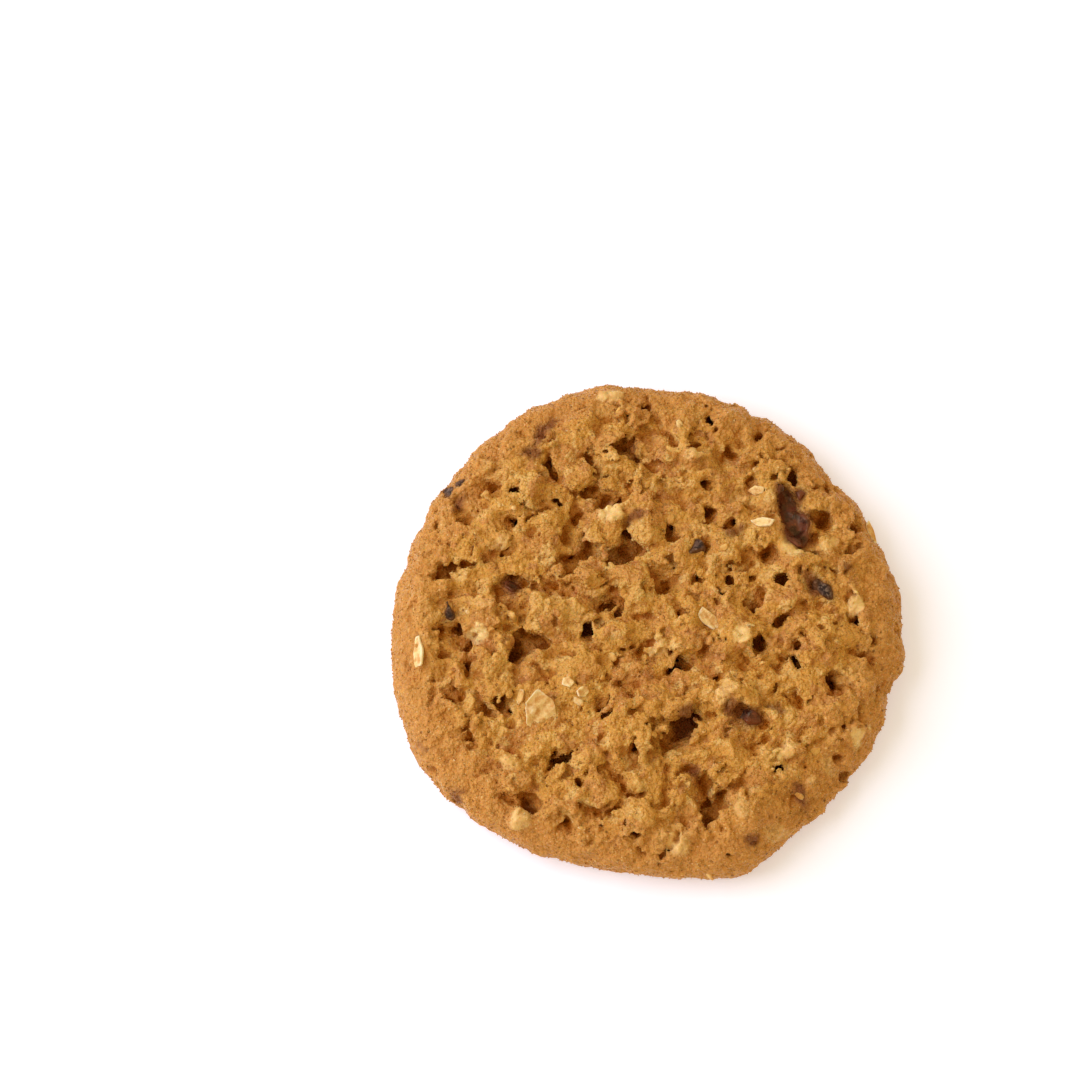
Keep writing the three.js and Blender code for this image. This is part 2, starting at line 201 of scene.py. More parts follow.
# Soft oats and lumps of dough baked into the crown, in the same way; the lumps have a paleness of 0
OATS = [
    (-4.7, 14.4, 4.1, 2.8, -60, 0.8), (-22.2, -1.8, 3.5, 2.4, -60, 0.9), (-16.7, -26.8, 2.8, 2.3, 60, 0.6),
    (18.7, 9.0, 2.9, 2.3, 20, 0.6), (27.4, 1.2, 3.6, 2.2, 70, 0.65), (3.8, -30.4, 2.8, 2.4, 0, 0.5),
    (9.8, -9.7, 2.8, 1.9, 80, 0.4), (27.2, -15.9, 3.3, 1.8, 70, 0.7), (23.4, -20.2, 2.8, 2.2, 20, 0.3),
    (12.3, -3.4, 2.7, 2.2, 0, 0.75), (11.9, -25.8, 2.8, 2.1, 90, 0.3), (-5.0, 31.2, 3.3, 1.6, 0, 0.6),
    (21.2, -21.6, 2.2, 1.8, 60, 0.4), (16.8, -28.2, 3.2, 2.4, 20, 0.3), (0.8, -4.3, 2.6, 2.0, 80, 0.5),
    (-19.4, 9.6, 2.2, 1.6, 30, 0.4), (6.6, 21.8, 2.4, 1.7, 10, 0.5), (23.8, 9.8, 2.2, 1.5, 60, 0.4),
    (-12.2, 2.2, 2.6, 1.9, 50, 0.3), (17.6, -18.2, 2.3, 1.6, -30, 0.5), (-24.6, 9.8, 2.4, 1.5, 70, 0.4),
    (-18.4, -19.8, 2.0, 1.6, 0, 0.4), (-22.0, 1.6, 3.2, 2.4, 0, 0.25), (-15.2, -18.8, 4.2, 3.0, 20, 0.0),
    (-19.3, -17.6, 2.2, 1.8, 80, 0.15), (-2.2, -17.0, 2.6, 2.0, 60, 0.0), (5.7, -3.2, 5.6, 4.0, 10, 0.0),
    (1.2, -11.0, 5.0, 4.2, 60, 0.0),
]
OAT_RISE = 0.14  # how far they stand out, as a share of their width
OAT_THICKNESS = 0.36  # half their thickness, as a share of their width
OAT_EDGE = (0.15, -0.3)  # distances from their outlines where they turn pale, and are palest
FLAKE_SEED = 13  # sets the outlines of the flakes
FLAKE_MESH = (10, 48)  # rings and spokes
FLAKE_THICKNESS = 0.5
FLAKE_RISE = 0.1
FLAKE_LEAN = 0.12
FLAKE_REACH = 0.4  # radius of the ground that they lie on, as a share of their mean width
FLAKE_LEVEL = 0.6  # 0 for the lowest of that ground and 1 for the highest
FLAKE_PALENESS = 1.0  # of their edges
FLAKE_COVER = 0.3  # how far the dough laps over them
FLAKE_BED_DEPTH = 0.1
FRAGMENTS = 32  # small broken bits of oat with no place of their own
FRAGMENT_MESH = (3, 14)
FRAGMENT_LENGTH = (0.7, 2.2)
FRAGMENT_WIDTH = (0.4, 0.8)  # as a share of their length
FRAGMENT_THICKNESS = 0.3
FRAGMENT_LEAN = 0.15
FRAGMENT_PALENESS = 0.6  # of their edges
CRUMBS = 9000  # grains of dough that stick out of the crust
CRUMB_RADIUS = (0.1, 0.32)
CRUMB_SLOPE = (0.0, 0.7)  # upward parts of the normal where they are smallest and largest
CRUMB_DENTS = (0.65, 1.25)  # limits of how far out their corners lie
CRUMB_STRETCH = (0.7, 1.3)
CRUMB_SINK, CRUMB_LIFT = 0.7, 0.5  # share of the radius that is sunk, and how much less for large ones

# How flakes and fragments are broken and bent, with the bends as shares of half their width
FLAKE_SIDES = (5, 7)  # least number of straight breaks, and one more than the most
BREAK_TURN = 0.2  # how far the breaks turn from an even spread
BREAK_PLACE = (0.75, 1.0)  # limits of their distance from the middle
BREAK_SHARPNESS = 90  # higher for sharper corners
BREAK_ROUGHNESS = 0.012
# Limits of curl, saddle, crease, ripple, turn of the ripple, and upturn of the edge
FLAKE_BENDS = [(-0.1, 0.15), (-0.15, 0.15), (0.03, 0.08), (0.03, 0.06), (0, 2 * math.pi), (0.05, 0.12)]
CREASE_WIDTH = 0.22
RIPPLE_ALONG, RIPPLE_ACROSS = 4, 9
UPTURN_POWER = 6  # higher for a narrower upturn
EDGE_POWER = 10  # higher for a squarer edge

FOOT_HEIGHT = 1.5  # crumbs, oats, toffee and fruit lie above this

# Light, in metres and watts
SKY_STRENGTH = 0.735
SKY_COLOUR = (1.0, 0.82, 0.48)
KEY_POWER = 5.95
KEY_COLOUR = (0.92, 1.02, 1.5)
KEY_SIZE = 0.8
KEY_PLACE = (-0.66, 0.09, 0.53)
FLOOR_SIZE = 4.0
FLOOR_GLOW = 0.3
FLOOR_GLOW_COLOUR = (0.75, 0.85, 1.1)
GLOSS_TINT = (1.0, 0.82, 0.45, 1.0)  # takes the blue of the key light out of highlights

# Most triangles of a piece, and least number of points of a body in it that isn't a scrap
DOUGH_MESH = (194000, 1000)
TOFFEE_MESH = (30000, 100)
FRUIT_MESH = (12000, 100)

# Where the dough changes colour, with painted shade in hollows and deep places and a painted highlight on
# crests: blurs that find hollows, and limits and share of each change
CLOSE_BLUR, WIDE_BLUR = 0.6, 1.6
# painted shade in close and wide hollows
HOLLOW_SHADE_LIMITS, CLOSE_SHADE_SHARE, WIDE_SHADE_SHARE = (0.0, 0.5), 0.4, 0.6
# painted highlight on raised crests, partly paler crumbs
CREST_PALE_AND_HIGHLIGHT_LIMITS = (0.05, 0.4)
# painted shade in the deepest places
DEPTH_SHADE_LIMITS, DEPTH_SHADE_SHARE = (0.35, 0.75), 0.8
RIM_LIMITS, RIM_SHARE = (25, 32), 0.85
DOT_EDGE = (0.6, 1.3)  # shares of the radius of a speck where its edge begins and ends
DOT_CHOICE = 0.02  # how narrowly specks are chosen

# The photograph's view: pixels of its 1080 by 1080 frame
PHOTO_PIXELS = 1080
PHOTO_CENTRE = (647.5, 622.0)  # middle of the biscuit
MM_PER_PIXEL = 0.132
VIEW_ELEVATION = 74.0  # degrees above the floor
LENS = 120.0
SENSOR = 36.0


def smoothstep(low, high, value):
    share = np.clip((value - low) / (high - low), 0, 1)
    return share * share * (3 - 2 * share)


def spline_weights(count, step):
    """Cubic B-spline weights that spread random values, one every step cubes, over a line of cubes."""
    place = np.arange(count) / step + 1
    knots = np.arange(int(place[-1]) + 3)
    away = np.abs(place[:, None] - knots[None, :])
    near = 2 / 3 - away**2 + away**3 / 2
    far = (2 - np.minimum(away, 2)) ** 3 / 6
    return np.where(away < 1, near, far).astype(np.float32)


def noise(rng, spacing):
    """A smooth random field over the grid, with a spread of 1 and features of the spacing given."""
    tables = [spline_weights(count, spacing / VOXEL) for count in SHAPE]
    values = rng.standard_normal([table.shape[1] for table in tables], np.float32)
    for axis, table in enumerate(tables):
        values = np.moveaxis(np.tensordot(table, values, (1, axis)), 0, axis)
    return np.ascontiguousarray(values / values.std())


def billow(rng, spacing):
    """A random field of rounded bumps with sharp creases between them, about 0 on average."""
    return np.abs(noise(rng, spacing)) - np.float32(BILLOW_MEAN)


def blurred(field, reach, passes=3):
    """The field after some box blurs; three of them are close to a Gaussian blur of the reach given."""
    half = max(1, round((math.sqrt(4 * (reach / VOXEL) ** 2 + 1) - 1) / 2))
    for axis in range(3):
        field = np.moveaxis(field, axis, 0)
        count = len(field)
        for _ in range(passes):
            padded = np.pad(field, [(half + 1, half), (0, 0), (0, 0)], mode="edge")
            total = np.cumsum(padded, axis=0, dtype=np.float32)
            field = (total[2 * half + 1:] - total[:count]) / np.float32(2 * half + 1)
        field = np.moveaxis(field, 0, axis)
    return np.ascontiguousarray(field)


def sampled(field, points):
    """The field's values at points in millimetres, between the middles of its cubes."""
    limits = [count - LAST_PLACE for count in SHAPE]
    place = [np.clip(points[..., axis] / VOXEL - FIRST[axis], 0, limits[axis]) for axis in range(3)]
    base = [part.astype(int) for part in place]
    share = [part - whole for part, whole in zip(place, base)]
    total = 0
    for corner in range(8):
        step = [corner >> axis & 1 for axis in range(3)]
        weight = 1
        for axis in range(3):
            weight = weight * (share[axis] if step[axis] else 1 - share[axis])
        total = total + weight * field[base[0] + step[0], base[1] + step[1], base[2] + step[2]]
    return total


def normals_at(field, points):
    """Unit vectors that point out of a field at some points."""
    steps = np.eye(3) * 2 * VOXEL
    slope = np.stack([sampled(field, points + step) - sampled(field, points - step) for step in steps], -1)
    return slope / np.maximum(np.linalg.norm(slope, axis=-1, keepdims=True), 1e-9)


def mesh_arrays(mesh):
    """The points of a mesh of triangles, in metres, and its faces."""
    points = np.zeros(len(mesh.vertices) * 3, np.float32)
    mesh.vertices.foreach_get("co", points)
    faces = np.zeros(len(mesh.loops), np.int32)
    mesh.loops.foreach_get("vertex_index", faces)
    return points.reshape(-1, 3), faces.reshape(-1, 3)


def face_normals(corners):
    """Normals of some triangles, as long as twice their areas, and those lengths."""
    across = np.cross(corners[:, 1] - corners[:, 0], corners[:, 2] - corners[:, 0])
    return across, np.linalg.norm(across, axis=1)


def solid_field(node):
    """The signed distance from each cube to the surface of a CAD node, negative inside."""
    points, faces = mesh_arrays(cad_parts[node].data)
    grid = openvdb.FloatGrid.createLevelSetFromPolygons(
        points / MM,
        triangles=faces.astype(np.uint32),
        transform=openvdb.createLinearTransform(voxelSize=VOXEL),
        halfWidth=BAND,
    )
    field = np.zeros(SHAPE, np.float32)
    grid.copyToArray(field, ijk=FIRST_CUBE)
    return field


def dips(field):
    """How far each place lies under the field's surface round it."""
    return field - blurred(field, DIP_REACH)


def chosen_cubes(chosen):
    """The numbers of some cubes, and their middles in millimetres."""
    near = np.nonzero(chosen)
    return near, np.stack([LINES[axis][near[axis]] for axis in range(3)], axis=-1)


def window(centre, reach):
    """The part of the grid within reach of a point, and the offsets of its cubes from the point."""
    slices = []
    offsets = []
    for axis in range(3):
        start = int((centre[axis] - reach) / VOXEL) - FIRST[axis]
        stop = int((centre[axis] + reach) / VOXEL) + 2 - FIRST[axis]
        piece = slice(max(0, start), min(SHAPE[axis], stop))
        slices.append(piece)
        offsets.append(LINES[axis][piece] - centre[axis])
    return tuple(slices), np.meshgrid(*offsets, indexing="ij")


def ellipsoid(offsets, axes, radii):
    """About the distance to an ellipsoid whose three axes and radii are given."""
    near = 0
    slope = 0
    for axis, radius in zip(axes, radii):
        along = sum(offset * part for offset, part in zip(offsets, axis)) / radius
        near = near + along**2
        slope = slope + (along / radius) ** 2
    near = np.sqrt(near)
    return near * (near - 1) / np.maximum(np.sqrt(slope), 1e-6)


def fuse(field, centre, axes, radii):
    """Joins an ellipsoid to the field."""
    piece, offsets = window(centre, max(radii) + FUSE_ROOM)
    field[piece] = np.minimum(field[piece], ellipsoid(offsets, axes, radii))


def carve(field, centre, axes, radii, ragged):
    """Cuts an ellipsoid out of the field, with walls that are as ragged as another field says."""
    piece, offsets = window(centre, max(radii) + CARVE_ROOM)
    field[piece] = np.maximum(field[piece], -ellipsoid(offsets, axes, radii) - ragged[piece])


def unit(vector):
    return vector / np.linalg.norm(vector)


def axes_on(normal, turn):
    """Length, width and height directions of a thing lying on a surface with the normal given."""
    along = np.array([math.cos(turn), math.sin(turn), 0.0])
    along = unit(along - normal * (along @ normal))
    return np.array([along, np.cross(normal, along), normal])


class Ground:
    """The top of a field, for laying things on it."""

    def __init__(self, field):
        inside = field < 0
        self.covered = inside.any(axis=2)
        top = SHAPE[2] - 1 - np.argmax(inside[:, :, ::-1], axis=2)
        top = np.minimum(top, SHAPE[2] - 2)[:, :, None]
        low = np.take_along_axis(field, top, 2)
        high = np.take_along_axis(field, top + 1, 2)
        share = np.clip(low / np.where(low < high, low - high, -1), 0, 1)
        self.heights = ((FIRST[2] + top + share) * VOXEL)[:, :, 0]

    def place(self, x, y, turn, reach, level=0.5):
        """A point over x, y and the axes of a thing lying there, on the plane through the ground within
        reach: a level of 0 takes the lowest of that ground and 1 the highest."""
        across, along = np.meshgrid(LINES[0] - x, LINES[1] - y, indexing="ij")
        near = self.covered & (np.hypot(across, along) < reach)
        plane = np.stack([np.ones(near.sum()), across[near], along[near]], axis=1)
        fit = np.linalg.lstsq(plane, self.heights[near], rcond=None)[0]
        lift = np.quantile(self.heights[near] - plane @ fit, level)
        normal = unit(np.array([-fit[1], -fit[2], 1.0]))
        return np.array([x, y, fit[0] + lift]), axes_on(normal, math.radians(turn))


def crust_points(node, count, rng):
    """Random points on the top and the wall of a CAD node, even over its area."""
    points, faces = mesh_arrays(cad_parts[node].data)
    corners = points[faces].astype(float) / MM
    across, area = face_normals(corners)
    outer = across[:, 2] > UNDERSIDE_TILT * area
    chosen = corners[outer][rng.choice(outer.sum(), count, p=area[outer] / area[outer].sum())]
    first, second = np.sort(rng.random((2, count, 1)), axis=0)
    return chosen[:, 0] * first + chosen[:, 1] * (second - first) + chosen[:, 2] * (1 - second)


def roughness(x, y):
    """Share of the relief at a place: 1 over the crown and less on the rim."""
    return 1 - (1 - RIM_ROUGHNESS) * smoothstep(ROUGH_RADIUS, SMOOTH_RADIUS, np.hypot(x, y))


def wander(rng):
    """Three random fields that say how far each place is pulled about along the axes."""
    return [
        WARP_REACH * noise(rng, WARP_SPACING) + FINE_WARP_REACH * noise(rng, FINE_WARP_SPACING)
        for _ in range(3)
    ]


def warped(field, share, shifts):
    """The field with its surface pulled about, so that no shape in it stays regular."""
    near, points = chosen_cubes(np.abs(field) < PULL_REACH)
    pull = np.stack([shift[near] for shift in shifts], axis=-1) * share[near][:, None]
    result = field.copy()
    result[near] = sampled(field, points + pull)
    return result


def uneven(rng):
    """A random field of coarse and fine unevenness."""
    return noise(rng, CRAG_SPACING) + FINE_UNEVENNESS * noise(rng, CRUMB_SPACING)


def upright_columns(places, ragged):
    """The field of upright columns at some places, with outlines as ragged as another field says."""
    plan = np.full(SHAPE[:2], BAND * VOXEL, np.float32)
    for x, y, length, width, turn, *_ in places:
        across, along = np.meshgrid(LINES[0] - x, LINES[1] - y, indexing="ij")
        axes = axes_on(np.array([0.0, 0.0, 1.0]), math.radians(turn))[:2]
        plan = np.minimum(plan, ellipsoid((across, along), axes, (length / 2, width / 2)))
    return plan.astype(np.float32)[:, :, None] + ragged


def soft_bits(columns, base, rise, bumps):
    """The field of soft bits that follow the top of the solid inside some columns."""
    top = base - rise - SOFT_BUMPS * bumps
    rounded = np.hypot(np.maximum(top + SOFT_EDGE, 0), np.maximum(columns + SOFT_EDGE, 0)) - SOFT_EDGE
    field = np.where(np.maximum(top, columns) > -SOFT_EDGE, rounded, np.maximum(top, columns))
    field = np.maximum(field, -base - SOFT_DEPTH)
    return np.maximum(field, FOOT_HEIGHT - LINES[2].astype(np.float32))


def add_lumps(field, smooth, dip, share, rng):
    """Fuses random lumps of dough to the crown, clear of the pits in the solid."""
    solid = field.copy()
    for count, *sizes in LUMPS:
        points = crust_points("biscuit", count, rng)
        points = points[sampled(dip, points) < LUMP_CLEARANCE]
        for point, normal, part in zip(points, normals_at(smooth, points), sampled(share, points)):
            if rng.random() > part:
                continue
            axes = axes_on(normal, rng.uniform(0, math.pi))
            radius = rng.uniform(*sizes[:2])
            rise = rng.uniform(*sizes[2:]) * part
            radii = radius * np.array([rng.uniform(*limits) for limits in LUMP_STRETCH])
            fuse(field, point - normal * (radii[2] - rise), axes, radii)
    field += (solid - field) * smoothstep(*OPEN_DIPS, dip)


def add_oats(field, ground):
    for x, y, length, width, turn, _ in OATS:
        point, axes = ground.place(x, y, turn, width)
        sunk = point - axes[2] * width * (OAT_THICKNESS - OAT_RISE)
        fuse(field, sunk, axes, (length / 2, width / 2, width * OAT_THICKNESS))


def with_chasms(field, share, rng):
    """The field with ragged valleys cut into the crown, most of them where the solid dips."""
    dip = dips(field)
    ragged = CHASM_RAGGEDNESS * noise(rng, CRUMB_SPACING)
    result = field
    for spacing, depth, start in CHASMS:
        pattern = noise(rng, spacing) + ragged * spacing / CHASMS[0][0]
        inside = (pattern - start + CHASM_PULL * dip - CHASM_FADE * (1 - share)) * spacing / CHASMS[0][0]
        floor = field + depth * (1 + CHASM_UNEVENNESS * noise(rng, LUMP_SPACING)) * share
        result = np.maximum(result, np.minimum(inside, floor))
    return result


def cut_small_pits(field, ground, ragged, rng):
    for x, y, length, width, turn in SMALL_PITS:
        point, axes = ground.place(x, y, turn, SMALL_PIT_REACH)
        depth = SMALL_PIT_DEPTH * rng.uniform(*SMALL_PIT_SPREAD)
        carve(field, point, axes, (length / 2, width / 2, depth), ragged)


def cut_pores(field, smooth, ragged, rng):
    points = crust_points("biscuit", PORES, rng)
    for point, normal in zip(points, normals_at(smooth, points)):
        lean = unit(normal + rng.normal(0, PORE_LEAN, 3))
        axes = axes_on(lean, rng.uniform(0, math.pi))
        radius = rng.uniform(*PORE_RADIUS) * rng.uniform(*PORE_NARROWING)
        radii = (radius * rng.uniform(*PORE_STRETCH), radius, rng.uniform(*PORE_DEPTH))
        carve(field, point, axes, radii, ragged)


class Clumps:
    """Angular clumps of dough: each point belongs to the nearest of many random seeds."""

    def __init__(self, spacing, shifts, rng):
        self.spacing = spacing
        self.shifts = shifts
        self.first = np.floor(FIRST * VOXEL / spacing).astype(int) - CLUMP_MARGIN
        self.count = np.ceil(np.array(SHAPE) * VOXEL / spacing).astype(int) + 2 * CLUMP_MARGIN + 1
        self.total = int(np.prod(self.count))
        self.jitter = rng.random((3, self.total), np.float32)

    def find(self, points):
        """The clump that each point is in, how much further off the next seed is than the clump's own, and
        how far off its own is."""
        moved = [points[:, axis] + sampled(self.shifts[axis], points) for axis in range(3)]
        place = [part.astype(np.float32) / np.float32(self.spacing) for part in moved]
        home = [np.floor(part) for part in place]
        share = [part - whole for part, whole in zip(place, home)]
        corner = np.ravel_multi_index([h.astype(int) - f for h, f in zip(home, self.first)], self.count)
        nearest = np.full(len(points), np.inf, np.float32)
        second = nearest.copy()
        number = np.zeros(len(points), int)
        for step in np.ndindex(3, 3, 3):
            moves = np.array(step) - 1
            seed = corner + (moves[0] * self.count[1] + moves[1]) * self.count[2] + moves[2]
            away = sum((share[axis] - moves[axis] - self.jitter[axis][seed]) ** 2 for axis in range(3))
            closer = away < nearest
            second = np.where(closer, nearest, np.minimum(second, away))
            nearest = np.where(closer, away, nearest)
            number = np.where(closer, seed, number)
        own = np.sqrt(nearest)
        return number, (np.sqrt(second) - own) * self.spacing, own * self.spacing

    def seeds(self):
        """The places of the seeds in millimetres."""
        cells = np.stack(np.unravel_index(np.arange(self.total), self.count), axis=0) + self.first[:, None]
        return ((cells + self.jitter) * self.spacing).T


def clump_relief(clumps, sizes, points, shares, dips, rng):
    """Height at some points of the clumps, which stand at different heights with cracks between them."""
    _, rise, tilt, crack, fallen, depth = sizes
    number, gap, _ = clumps.find(points)
    leans = tilt * rng.standard_normal((clumps.total, 3))
    level = rise * rng.standard_normal(clumps.total) - (leans * clumps.seeds()).sum(axis=1)
    heights = level[number] + (leans[number] * points).sum(axis=1)
    heights -= crack * smoothstep(CRACK_WIDTH, 0, gap)
    gone = (rng.random(clumps.total)[number] < fallen + FALL_PULL * dips) & (shares > FALL_LIMIT)
    return heights - gone * depth * rng.uniform(*FALL_SPREAD, clumps.total)[number]


def granule_relief(granules, points, rng):
    """Height at some points of rounded granules that stand at slightly different heights."""
    spacing, rise, spread = GRANULES
    number, _, away = granules.find(points)
    heights = rise * (GRANULE_LEVEL - (away / (GRANULE_RADIUS * spacing)) ** 2)
    return heights + spread * rng.standard_normal(granules.total)[number]


def with_relief(field, share, layers, granules, rng):
    """The field with clumps, lumps, crags and grain on it, and a flat dimpled underside."""
    field = blurred(field, EDGE_BLUR)
    relief = LUMP_RISE * billow(rng, LUMP_SPACING)
    relief += CRAG_RISE * billow(rng, CRAG_SPACING)
    fine = CRUMB_RISE * billow(rng, CRUMB_SPACING) + GRAIN_RISE * noise(rng, GRAIN_SPACING)
    dip = dips(field)
    up = smoothstep(*FOOT_FADE, LINES[2]).astype(np.float32)
    near, points = chosen_cubes((np.abs(field) < CLUMP_REACH) & (share * up > LEAST_SHARE))
    for clumps, sizes in zip(layers, CLUMPS):
        relief[near] += clump_relief(clumps, sizes, points, share[near], dip[near], rng)
    field = blurred(field - relief * share * up, EDGE_BLUR, 1)
    near, points = chosen_cubes((np.abs(field) < GRANULE_REACH) & (up > LEAST_SHARE))
    fine[near] += granule_relief(granules, points, rng)
    fine = fine * (RIM_GRAIN + (1 - RIM_GRAIN) * share) * up
    dimples = DIMPLE_DEPTH * np.maximum(noise(rng, DIMPLE_SPACING), 0)
    return np.maximum(field - fine, dimples - LINES[2].astype(np.float32))


def add_object(name, data):
    added = bpy.data.objects.new(name, data)
    bpy.context.scene.collection.objects.link(added)
    return added


def mesh_piece(name, points, faces):
    """An object made of points in millimetres and of faces that all have the same number of corners."""
    mesh = bpy.data.meshes.new(name)
    mesh.vertices.add(len(points))
    mesh.vertices.foreach_set("co", np.asarray(points * MM, np.float32).ravel())
    mesh.loops.add(faces.size)
    mesh.loops.foreach_set("vertex_index", np.asarray(faces, np.int32).ravel())
    mesh.polygons.add(len(faces))
    mesh.polygons.foreach_set("loop_start", np.arange(len(faces), dtype=np.int32) * faces.shape[1])
    mesh.update(calc_edges=True)
    mesh.shade_smooth()
    return add_object(name, mesh)


def piece_points(piece):
    """The points of a piece in millimetres."""
    return mesh_arrays(piece.data)[0] / MM


def without_scraps(points, faces, least):
    """The points and faces of the bodies that have at least so many points."""
    label = np.arange(len(points))
    while True:
        lowest = label[faces].min(axis=1)
        joined = label.copy()
        for corner in range(3):
            np.minimum.at(joined, faces[:, corner], lowest)
        joined = joined[joined]
        if (joined == label).all():
            break
        label = joined
    kept = np.bincount(label, minlength=len(points))[label] >= least
    number = np.cumsum(kept) - 1
    return points[kept], number[faces[kept[faces[:, 0]]]]


def surface_piece(name, field, triangles, least):
    """An object with the field's surface, thinned to about so many triangles, without small scraps and
    with nothing under the floor."""
    grid = openvdb.FloatGrid()
    grid.transform = openvdb.createLinearTransform(voxelSize=VOXEL)
    grid.copyFromArray(field, ijk=FIRST_CUBE)
    points, _, quads = grid.convertToPolygons(isovalue=0.0, adaptivity=0.0)
    dense = mesh_piece(name + "_dense", points, quads[:, [3, 2, 1, 3, 1, 0]].reshape(-1, 3))
    thin = dense.modifiers.new("thin", "DECIMATE")
    thin.ratio = min(1.0, triangles / (2 * len(quads)))
    bpy.context.view_layer.update()
    thinned = dense.evaluated_get(bpy.context.evaluated_depsgraph_get()).to_mesh()
    points, faces = mesh_arrays(thinned)
    points, faces = without_scraps(points / MM, faces, least)
    points[:, 2] = np.maximum(points[:, 2], 0)
    bpy.data.objects.remove(dense)
    return mesh_piece(name, points, faces)


def set_attribute(piece, name, values):
    attribute = piece.data.attributes.new(name, "FLOAT", "POINT")
    attribute.data.foreach_set("value", np.asarray(values, np.float32))


def surface_draws(piece, count, rng):
    """Random points on a piece above its foot, even over its area, and the normals there."""
    points, faces = mesh_arrays(piece.data)
    corners = (points / MM)[faces].astype(float)
    across, area = face_normals(corners)
    weights = area * (corners[:, :, 2].min(axis=1) > FOOT_HEIGHT)
    chosen = rng.choice(len(faces), count, p=weights / weights.sum())
    return corners[chosen].mean(axis=1), across[chosen] / area[chosen, None]


def plate_faces(rings, spokes):
    """Triangles of a thin plate: its upper side by rings, round its edge, and its lower side."""
    def upper(ring, spoke):
        return 1 + (ring - 1) * spokes + spoke % spokes

    def lower(ring, spoke):
        return upper(ring if ring == rings else rings + ring, spoke)

    last = 1 + (2 * rings - 1) * spokes
    steps = [(0, 0), (1, 0), (1, 1), (0, 1)]  # corners of a quad, in rings and spokes
    faces = []
    for spoke in range(spokes):
        faces.append((0, upper(1, spoke), upper(1, spoke + 1)))
        faces.append((last, lower(1, spoke + 1), lower(1, spoke)))
        for ring in range(1, rings):
            for row, way in ((upper, 1), (lower, -1)):
                a, b, c, d = (row(ring + out, spoke + on) for out, on in steps[::way])
                faces += [(a, b, c), (a, c, d)]
    return np.array(faces)


def flake_outline(angles, rng):
    """Radius at some angles of a broken flake of about radius 1: straight breaks with rounded corners."""
    sides = rng.integers(*FLAKE_SIDES)
    facing = 2 * math.pi * (np.arange(sides) + rng.uniform(-BREAK_TURN, BREAK_TURN, sides)) / sides
    nearness = np.maximum(np.cos(angles[:, None] - facing), 0) / rng.uniform(*BREAK_PLACE, sides)
    outline = (nearness**BREAK_SHARPNESS).sum(axis=1) ** (-1 / BREAK_SHARPNESS)
    return outline / outline.max() * (1 + BREAK_ROUGHNESS * rng.standard_normal(len(angles)))


def flake_points(rng, length, width, thickness, rings, spokes):
    """Points of a thin wavy flake lying on the plane, in the order that plate_faces takes."""
    angles = 2 * math.pi * np.arange(spokes) / spokes
    outline = flake_outline(angles, rng)
    curl, saddle, crease, ripple, turn, upturn = (rng.uniform(*limits) for limits in FLAKE_BENDS)

    def row(ring, side):
        share = 1 - (1 - ring / rings) ** 2
        u = outline * share * np.cos(angles)
        v = outline * share * np.sin(angles)
        bend = curl * u**2 + saddle * u * v - crease * np.exp(-((v / CREASE_WIDTH) ** 2))
        bend = bend + ripple * np.sin(RIPPLE_ACROSS * v + RIPPLE_ALONG * u + turn)
        bend = bend + upturn * share**UPTURN_POWER
        edge = math.sqrt(1 - share**EDGE_POWER)
        z = bend * width / 2 + side * edge * thickness / 2
        return np.stack([u * length / 2, v * width / 2, z], axis=-1)

    upper = [row(ring, 1) for ring in range(1, rings + 1)]
    lower = [row(ring, -1) for ring in range(1, rings)]
    return np.concatenate([row(0, 1)[:1], *upper, *lower, row(0, -1)[:1]])


def plate_edges(rings, spokes):
    """How near each point of a thin plate is to its edge, from 0 to 1."""
    upper = np.repeat(np.arange(1, rings + 1), spokes)
    return np.concatenate([[0], upper, upper[:-spokes], [0]]) / rings


def joined_piece(name, shapes, faces, tints):
    """One object of many shapes that all have the same faces, each with a tint of its own."""
    shapes = np.asarray(shapes)
    count, size = shapes.shape[:2]
    numbers = faces[None] + (np.arange(count) * size)[:, None, None]
    piece = mesh_piece(name, shapes.reshape(-1, 3), numbers.reshape(-1, 3))
    set_attribute(piece, "tint", np.repeat(tints, size))
    return piece


def oat_piece(name, shapes, rings, spokes, tints, paleness):
    """One object of many thin plates, each with a tint of its own and an edge of the paleness given."""
    piece = joined_piece(name, shapes, plate_faces(rings, spokes), tints)
    set_attribute(piece, "edge", paleness * np.tile(plate_edges(rings, spokes), len(shapes)))
    return piece


def oat_flakes(ground):
    rng = np.random.default_rng(FLAKE_SEED)
    shapes = []
    for x, y, length, width, turn, _ in FLAKES:
        point, axes = ground.place(x, y, turn, FLAKE_REACH * (length + width) / 2, FLAKE_LEVEL)
        lean = unit(axes[2] + rng.normal(0, FLAKE_LEAN, 3))
        axes = axes_on(lean, math.radians(turn))
        points = flake_points(rng, length, width, FLAKE_THICKNESS, *FLAKE_MESH)
        shapes.append(point + axes[2] * FLAKE_RISE + points @ axes)
    return oat_piece("oat_flakes", shapes, *FLAKE_MESH, [flake[5] for flake in FLAKES], FLAKE_PALENESS)


def oat_fragments(dough, rng):
    shapes = []
    for point, normal in zip(*surface_draws(dough, FRAGMENTS, rng)):
        lean = unit(normal + rng.normal(0, FRAGMENT_LEAN, 3))
        axes = axes_on(lean, rng.uniform(0, 2 * math.pi))
        length = rng.uniform(*FRAGMENT_LENGTH)
        width = length * rng.uniform(*FRAGMENT_WIDTH)
        points = flake_points(rng, length, width, FRAGMENT_THICKNESS, *FRAGMENT_MESH)
        shapes.append(point + points @ axes)
    tints = rng.random(FRAGMENTS) ** 2
    return oat_piece("oat_fragments", shapes, *FRAGMENT_MESH, tints, FRAGMENT_PALENESS)


